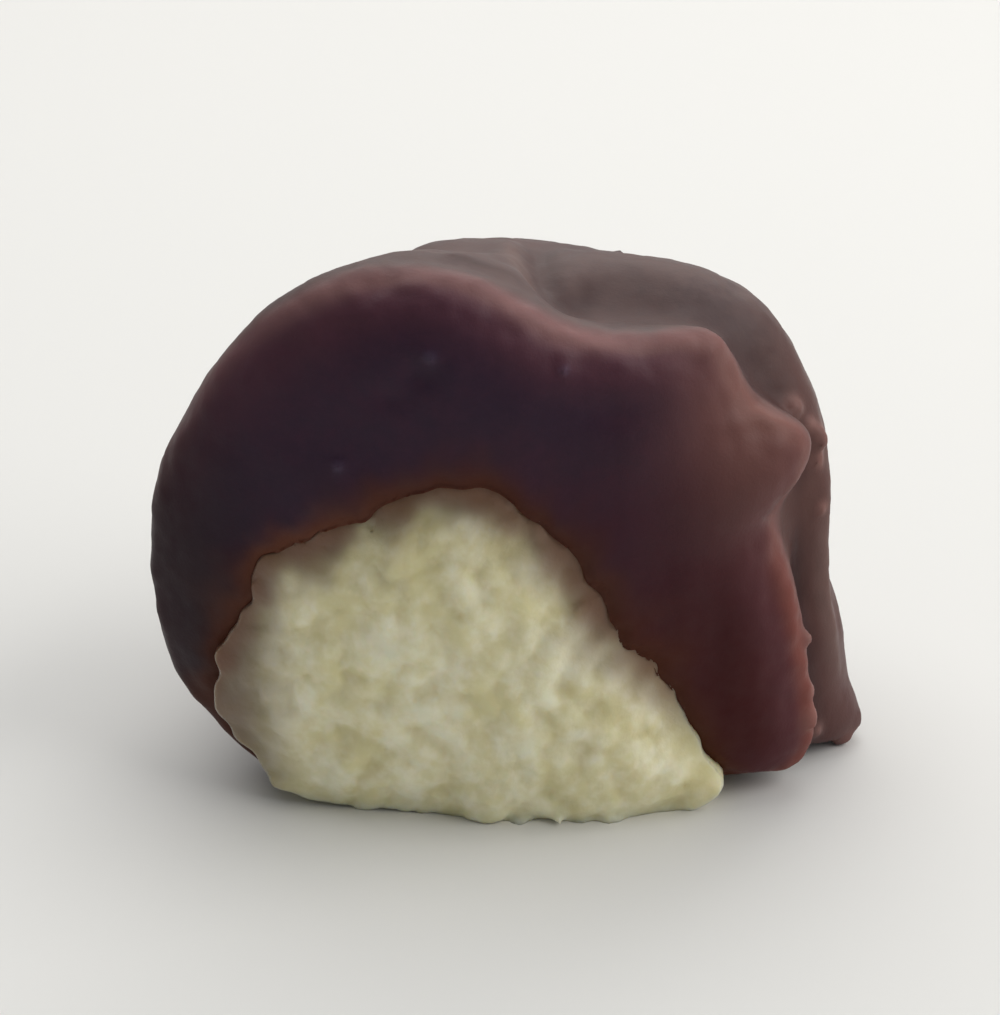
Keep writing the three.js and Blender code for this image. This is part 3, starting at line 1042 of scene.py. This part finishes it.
def grain_group():
    """A mealy surface: fine grains on soft undulations, as a height from 0 to 1."""
    number = "NodeSocketFloat"
    tree, given, result = new_group(
        "Mealy grain",
        "ShaderNodeTree",
        {
            "Vector": ("NodeSocketVector", None),
            "Grains per metre": (number, 4000.0),
            "Waves per metre": (number, 700.0),
            "Share of waves": (number, 0.5),
        },
        {"Height": number},
    )
    vector = given.outputs["Vector"]
    grains = noise_texture(tree, vector, given.outputs["Grains per metre"], 2.0, roughness=0.6)
    waves = noise_texture(tree, vector, given.outputs["Waves per metre"], 3.0)
    height = blended(tree, given.outputs["Share of waves"], grains, waves)
    tree.links.new(height, result.inputs["Height"])
    return tree


def mask_of(tree, name):
    """One of the piece's own masks."""
    return put(tree, "ShaderNodeAttribute", attribute_name=name).outputs["Fac"]


def mixed(tree, factor, first, second):
    """One colour turning into another as the factor rises."""
    return put(tree, "ShaderNodeMix", {0: factor, 6: first, 7: second}, data_type="RGBA").outputs[2]


def layered(tree, colour, layers):
    """A colour with others laid over it, each by a mask or the name of one, and its strength."""
    for mask, strength, over in layers:
        if isinstance(mask, str):
            mask = mask_of(tree, mask)
        colour = mixed(tree, maths(tree, "MULTIPLY", mask, strength), colour, over)
    return colour


def ranged(tree, value, low, high):
    """A mask from 0 to 1 stretched between two numbers."""
    return put(tree, "ShaderNodeMapRange", {"Value": value, "To Min": low, "To Max": high}).outputs[0]


def specks(tree, place, per_metre, size, share):
    """Rare small round specks, as a mask."""
    wires = {"Vector": place, "Scale": per_metre, "Randomness": 1.0}
    cells = put(tree, "ShaderNodeTexVoronoi", wires)
    near = stepped(tree, cells.outputs["Distance"], size, size * 0.5)
    picked = put(tree, "ShaderNodeSeparateColor", {"Color": cells.outputs["Color"]})
    rare = maths(tree, "GREATER_THAN", picked.outputs[0], 1 - share)
    return maths(tree, "MULTIPLY", near, rare)


def add_finish(tree, shader, mottle, roughness, coat):
    """Lets roughness and coat vary with the mottling, each between two numbers."""
    tree.links.new(ranged(tree, mottle, *roughness), shader.inputs["Roughness"])
    tree.links.new(ranged(tree, mottle, *coat), shader.inputs["Coat Weight"])


def add_bump(tree, shader, meal, distance):
    """Adds a bump to a shader, from the mealy grain."""
    wires = {"Height": meal.outputs["Height"], "Strength": BUMP_STRENGTH, "Distance": distance}
    bump = put(tree, "ShaderNodeBump", wires)
    tree.links.new(bump.outputs["Normal"], shader.inputs["Normal"])


def paste_colour(tree, place, mottle):
    """The colour of the paste: its skin, its cut, and what lies over both, painted light and shade
    among it.
    """
    skin = layered(
        tree,
        mixed(tree, mottle, tone(85, 69, 69), tone(101, 84, 82)),
        [
            ("back", 0.65, tone(64, 44, 55)),
            # painted reddish bounce light on the right flank
            ("flank", 0.7, tone(94, 60, 54)),
            # painted shade in the folds
            ("shaded_crease", 0.85, tone(54, 30, 30)),
            # painted highlights on the fine ridges
            ("lit_ridge", 0.4, tone(124, 102, 96)),
            # painted shade in the fine folds
            ("shaded_line", 0.45, tone(54, 34, 35)),
        ],
    )
    # the cut face and the lit crest turn redder low on the right: painted bounce light
    warm_bounce = mask_of(tree, "warm_bounce")
    cut = mixed(tree, mottle, tone(47, 27, 47), tone(61, 37, 54))
    cut = mixed(tree, warm_bounce, cut, tone(64, 18, 19))
    lit_crest = mixed(tree, warm_bounce, tone(134, 97, 96), tone(120, 66, 58))
    pale = specks(tree, place, per_metre=160.0, size=0.055, share=0.35)
    return layered(
        tree,
        mixed(tree, mask_of(tree, "cut"), skin, cut),
        [
            # painted reddish light on the face just under the lip's edge
            ("lit_lip_band", 0.48, tone(98, 58, 64)),
            # painted highlight along the lip's lit edge
            ("lit_crest", 0.95, lit_crest),
            # painted light on the lit bevel of the shoulder
            ("bevel", 0.75, tone(119, 81, 73)),
            # painted shade on the left cheek
            ("left", 0.8, tone(28, 11, 18)),
            ("rim", 0.9, tone(78, 38, 20)),
            ("smear", 0.35, tone(126, 76, 52)),
            (pale, 0.3, tone(120, 102, 108)),
            ("scrap", 0.3, tone(110, 100, 124)),
            # painted highlight on the crumbs
            ("lit_crumb", 0.7, tone(156, 116, 109)),
        ],
    )


def paste_material(mottling, grain):
    """Dark, moist bean paste, browner where it thins over the rice, with a painted reddish highlight at
    the lip and other painted light and shade.
    """
    made, tree, shader = new_material(
        "Smooth bean paste",
        Subsurface_Weight=0.10,
        Subsurface_Radius=(1.0, 0.35, 0.25),
        Subsurface_Scale=0.0015,
        IOR=1.4,
        Specular_IOR_Level=0.2,
        Coat_Roughness=0.42,
    )
    place = put(tree, "ShaderNodeTexCoord").outputs["Object"]
    patches = put(tree, "ShaderNodeGroup", {"Vector": place}, node_tree=mottling)
    mottle = patches.outputs["Mask"]
    tree.links.new(paste_colour(tree, place, mottle), shader.inputs["Base Color"])
    add_finish(tree, shader, mottle, roughness=(0.45, 0.6), coat=(0.08, 0.0))
    meal = put(tree, "ShaderNodeGroup", {"Vector": place}, node_tree=grain)
    add_bump(tree, shader, meal, distance=0.00012)
    return made


def rice_material(mottling, grain):
    """Moist, cloudy, cream-white rice, with painted shade between the grains, stained and with painted
    shade along the paste.
    """
    made, tree, shader = new_material(
        "Half-pounded rice",
        Subsurface_Weight=0.7,
        Subsurface_Radius=(1.0, 0.8, 0.55),
        Subsurface_Scale=0.0022,
        IOR=1.42,
        Coat_Roughness=0.3,
    )
    place = put(tree, "ShaderNodeTexCoord").outputs["Object"]
    wires = {"Vector": place, "Patches per metre": 260.0}
    patches = put(tree, "ShaderNodeGroup", wires, node_tree=mottling)
    mottle = patches.outputs["Mask"]
    # darker where the rice lies low between the grains: painted shade
    low = mixed(tree, mottle, tone(224, 215, 164), tone(238, 231, 194))
    high = mixed(tree, mottle, tone(229, 221, 172), tone(249, 244, 216))
    colour = layered(
        tree,
        mixed(tree, mask_of(tree, "proud"), low, high),
        [("shade", 0.85, tone(108, 86, 72)), ("rim", 0.85, tone(112, 68, 42))],
    )
    tree.links.new(colour, shader.inputs["Base Color"])
    add_finish(tree, shader, mottle, roughness=(0.34, 0.5), coat=(0.25, 0.1))
    wires = {"Vector": place, "Grains per metre": 1600.0}
    meal = put(tree, "ShaderNodeGroup", wires, node_tree=grain)
    add_bump(tree, shader, meal, distance=0.0003)
    return made


def make_floor():
    """The plain pale surface that the half stands on."""
    finish, _, shader = new_material("Pale table", Roughness=0.7, IOR=1.3)
    shader.inputs["Base Color"].default_value = tone(226, 226, 224)
    half = FLOOR_HALF_WIDTH
    corners = [(-half, -half, 0), (half, -half, 0), (half, half, 0), (-half, half, 0)]
    mesh = bpy.data.meshes.new("floor")
    mesh.from_pydata(corners, [], [(0, 1, 2, 3)])
    mesh.materials.append(finish)
    floor = linked("floor", mesh)


def aimed(thing, place, target):
    """Puts a light or camera at a place and points it at a target."""
    thing.location = place
    thing.rotation_euler = (Vector(target) - Vector(place)).to_track_quat("-Z", "Y").to_euler()


def softbox(name, place, size, power, colour):
    """A large soft light that points at the half."""
    data = bpy.data.lights.new(name, "AREA")
    data.shape = "RECTANGLE"
    data.size, data.size_y = size
    data.energy = power
    data.color = colour
    aimed(linked(name, data), place, LIGHTS_TARGET)


def light_the_scene():
    """Soft light from above, behind and the right, and a pale room all round."""
    for name, settings in LIGHTS.items():
        softbox(name, *settings)
    world = bpy.data.worlds.new("pale room")
    world.use_nodes = True
    background = world.node_tree.nodes["Background"]
    background.inputs["Color"].default_value = ROOM["colour"]
    background.inputs["Strength"].default_value = ROOM["strength"]
    bpy.context.scene.world = world
    bpy.context.scene.view_settings.view_transform = "Standard"


def make_camera():
    """The camera, above and straight in front of the cut face."""
    data = bpy.data.cameras.new("camera")
    data.sensor_fit = "HORIZONTAL"
    data.sensor_width = LENS["sensor_width"]
    data.lens = LENS["lens"]
    data.clip_start = 0.01
    camera = linked("camera", data)
    aimed(camera, CAMERA["place"], CAMERA["target"])
    bpy.context.scene.camera = camera


def main():
    """Builds the camera, the lights, the table and both pieces of the half."""
    make_camera()
    light_the_scene()
    make_floor()
    mottling, grain = mottling_group(), grain_group()
    paste = make_paste()
    dress_paste(paste)
    scale, move = fit_paste(paste)
    paste.data.materials.clear()
    paste.data.materials.append(paste_material(mottling, grain))
    finish = rice_material(mottling, grain)
    rice = make_rice(finish)
    dress_rice(rice)
    fit_rice(rice, scale, move)
    rice.data.materials.clear()
    rice.data.materials.append(finish)
    for piece, node in ((paste, "bean_paste"), (rice, "rice")):
        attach(piece, "root")
        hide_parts(node)


main()
